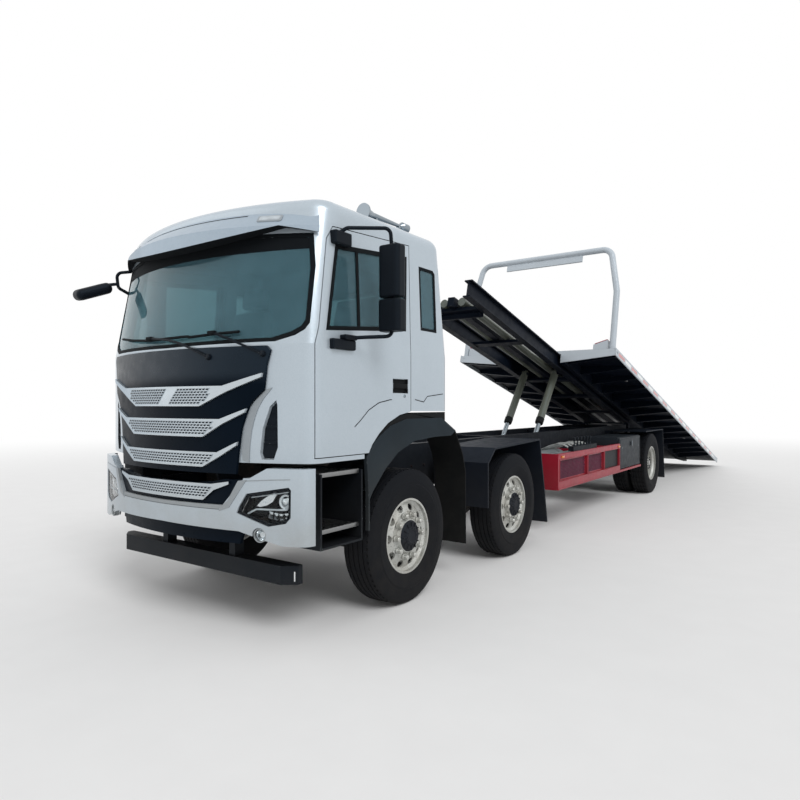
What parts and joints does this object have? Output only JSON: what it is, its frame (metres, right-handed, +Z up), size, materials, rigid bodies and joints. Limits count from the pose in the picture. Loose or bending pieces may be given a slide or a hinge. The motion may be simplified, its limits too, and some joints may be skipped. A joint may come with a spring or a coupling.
{
  "type": "flatbed tow truck",
  "caption": "Cab-over flatbed recovery truck with two steered front axles, twin rear tyres and a long deck that slides back and tips down to the ground.",
  "frame": {"origin": "on the ground in the middle of the whole outline", "axes": "-Y forward, +X the vehicle's left, +Z up"},
  "size_m": [2.932, 15.1435, 3.9365],
  "materials": {
    "cab_paint": "gloss white paint",
    "frame_paint": "satin near-black chassis paint",
    "bed_paint": "near-black navy paint",
    "edge_paint": "white paint",
    "red_paint": "crimson paint",
    "grey_paint": "charcoal paint",
    "silver_paint": "silver paint",
    "rim_silver": "machined alloy",
    "black_plastic": "moulded black plastic",
    "grey_plastic": "moulded dark grey plastic",
    "lamp_glass": "clear lamp cover",
    "glass": "tinted glass",
    "tyre": "road tyre rubber",
    "iron": "rough cast iron",
    "chrome": "polished chrome",
    "cylinder_steel": "light grey paint",
    "seat_fabric": "woven seat cloth"
  },
  "bodies": {
    "chassis": {"chassis_frame": "frame_paint", "engine_block": "iron", "steer_axles": "frame_paint", "rear_axle": "frame_paint", "leaf_springs": "iron", "bumper": "cab_paint", "front_lamps": "lamp_glass", "front_valance": "black_plastic", "underrun_bar": "frame_paint", "cab_steps": "black_plastic", "front_arches": "grey_plastic", "mudguards": "black_plastic", "side_guards": "red_paint", "toolboxes": "grey_paint", "tanks": "frame_paint", "control_levers": "chrome", "tail_lamps": "lamp_glass"},
    "cab": {"cab_shell": "cab_paint", "cab_glass": "glass", "roof_visor": "cab_paint", "seats": "seat_fabric", "dashboard": "grey_plastic", "air_horn": "chrome", "front_mirrors": "black_plastic"},
    "front_lid": {"front_lid": "black_plastic", "grille_strips": "silver_paint"},
    "door_left": {"door_left": "cab_paint", "door_glass_left": "glass", "mirror_left": "black_plastic"},
    "toolbox_door_left": {"toolbox_door_left": "grey_paint"},
    "door_right": {"door_right": "cab_paint", "door_glass_right": "glass", "mirror_right": "black_plastic"},
    "toolbox_door_right": {"toolbox_door_right": "grey_paint"},
    "knuckle_1_left": {"knuckle_1_left": "iron"},
    "wheel_1_left": {"tyre_1_left": "tyre", "rim_1_left": "rim_silver"},
    "knuckle_1_right": {"knuckle_1_right": "iron"},
    "wheel_1_right": {"tyre_1_right": "tyre", "rim_1_right": "rim_silver"},
    "knuckle_2_left": {"knuckle_2_left": "iron"},
    "wheel_2_left": {"tyre_2_left": "tyre", "rim_2_left": "rim_silver"},
    "knuckle_2_right": {"knuckle_2_right": "iron"},
    "wheel_2_right": {"tyre_2_right": "tyre", "rim_2_right": "rim_silver"},
    "wheels_3_left": {"tyres_3_left": "tyre", "rims_3_left": "rim_silver"},
    "wheels_3_right": {"tyres_3_right": "tyre", "rims_3_right": "rim_silver"},
    "tilt_frame": {"tilt_frame": "bed_paint", "slide_cylinders": "cylinder_steel"},
    "platform": {"deck": "bed_paint", "deck_edges": "edge_paint", "hoop": "edge_paint", "winch": "frame_paint", "slide_rods": "chrome"},
    "lift_barrels": {"lift_barrels": "cylinder_steel"},
    "lift_rods": {"lift_rods": "chrome"}
  },
  "joints": [
    {"name": "cab_tilt", "type": "hinge", "parent": "chassis", "child": "cab", "pos_m": [0, -7.4203, 1.13], "axis": [1, 0, 0], "range_deg": [0, 45]},
    {"name": "front_lid_hinge", "type": "hinge", "parent": "cab", "child": "front_lid", "pos_m": [0, -7.5373, 1.94], "axis": [-1, 0, 0], "range_deg": [0, 70]},
    {"name": "door_left_hinge", "type": "hinge", "parent": "cab", "child": "door_left", "pos_m": [1.142, -7.21631, 1.9], "axis": [0, 0, -1], "range_deg": [0, 70]},
    {"name": "toolbox_door_left_hinge", "type": "hinge", "parent": "chassis", "child": "toolbox_door_left", "pos_m": [1.139, 0.0307, 0.585], "axis": [0, 1, 0], "range_deg": [0, 90]},
    {"name": "door_right_hinge", "type": "hinge", "parent": "cab", "child": "door_right", "pos_m": [-1.142, -7.21631, 1.9], "axis": [0, 0, 1], "range_deg": [0, 70]},
    {"name": "toolbox_door_right_hinge", "type": "hinge", "parent": "chassis", "child": "toolbox_door_right", "pos_m": [-1.139, 0.0307, 0.585], "axis": [0, -1, 0], "range_deg": [0, 90]},
    {"name": "steer_1_left", "type": "hinge", "parent": "chassis", "child": "knuckle_1_left", "pos_m": [0.83, -6.12031, 0.505], "axis": [0, 0, 1], "range_deg": [-36, 36]},
    {"name": "spin_1_left", "type": "hinge", "parent": "knuckle_1_left", "child": "wheel_1_left", "pos_m": [0.995, -6.12031, 0.525], "axis": [1, 0, 0], "continuous": true},
    {"name": "steer_1_right", "type": "hinge", "parent": "chassis", "child": "knuckle_1_right", "pos_m": [-0.83, -6.12031, 0.505], "axis": [0, 0, 1], "range_deg": [-36, 36]},
    {"name": "spin_1_right", "type": "hinge", "parent": "knuckle_1_right", "child": "wheel_1_right", "pos_m": [-0.995, -6.12031, 0.525], "axis": [1, 0, 0], "continuous": true},
    {"name": "steer_2_left", "type": "hinge", "parent": "chassis", "child": "knuckle_2_left", "pos_m": [0.83, -4.20031, 0.505], "axis": [0, 0, 1], "range_deg": [-27, 27]},
    {"name": "spin_2_left", "type": "hinge", "parent": "knuckle_2_left", "child": "wheel_2_left", "pos_m": [0.995, -4.20031, 0.525], "axis": [1, 0, 0], "continuous": true},
    {"name": "steer_2_right", "type": "hinge", "parent": "chassis", "child": "knuckle_2_right", "pos_m": [-0.83, -4.20031, 0.505], "axis": [0, 0, 1], "range_deg": [-27, 27]},
    {"name": "spin_2_right", "type": "hinge", "parent": "knuckle_2_right", "child": "wheel_2_right", "pos_m": [-0.995, -4.20031, 0.525], "axis": [1, 0, 0], "continuous": true},
    {"name": "spin_3_left", "type": "hinge", "parent": "chassis", "child": "wheels_3_left", "pos_m": [0.845, 1.47969, 0.525], "axis": [1, 0, 0], "continuous": true},
    {"name": "spin_3_right", "type": "hinge", "parent": "chassis", "child": "wheels_3_right", "pos_m": [-0.845, 1.47969, 0.525], "axis": [1, 0, 0], "continuous": true},
    {"name": "bed_tilt", "type": "hinge", "parent": "chassis", "child": "tilt_frame", "pos_m": [0, 2.48769, 1], "axis": [1, 0, 0], "range_deg": [0, 14.05]},
    {"name": "bed_slide", "type": "slide", "parent": "tilt_frame", "child": "platform", "axis": [0, -0.9701, 0.2428], "range_m": [0, 4]},
    {"name": "lift_barrel_hinge", "type": "hinge", "parent": "tilt_frame", "child": "lift_barrels", "pos_m": [0, -0.86996, 2.04953], "axis": [1, 0, 0], "range_deg": [-36.83, 0.5]},
    {"name": "lift_rod_slide", "type": "slide", "parent": "lift_barrels", "child": "lift_rods", "axis": [0, -0.6365, -0.7712], "range_m": [-0.67346, 0.005]}
  ],
  "couplings": [
    {"joint": "steer_1_right", "follows": "steer_1_left", "ratio": 1},
    {"joint": "steer_2_left", "follows": "steer_1_left", "ratio": 0.75},
    {"joint": "steer_2_right", "follows": "steer_1_left", "ratio": 0.75},
    {"joint": "lift_barrel_hinge", "follows": "bed_tilt", "ratio": -2.5858},
    {"joint": "lift_rod_slide", "follows": "bed_tilt", "m_per_rad": -2.726}
  ]
}
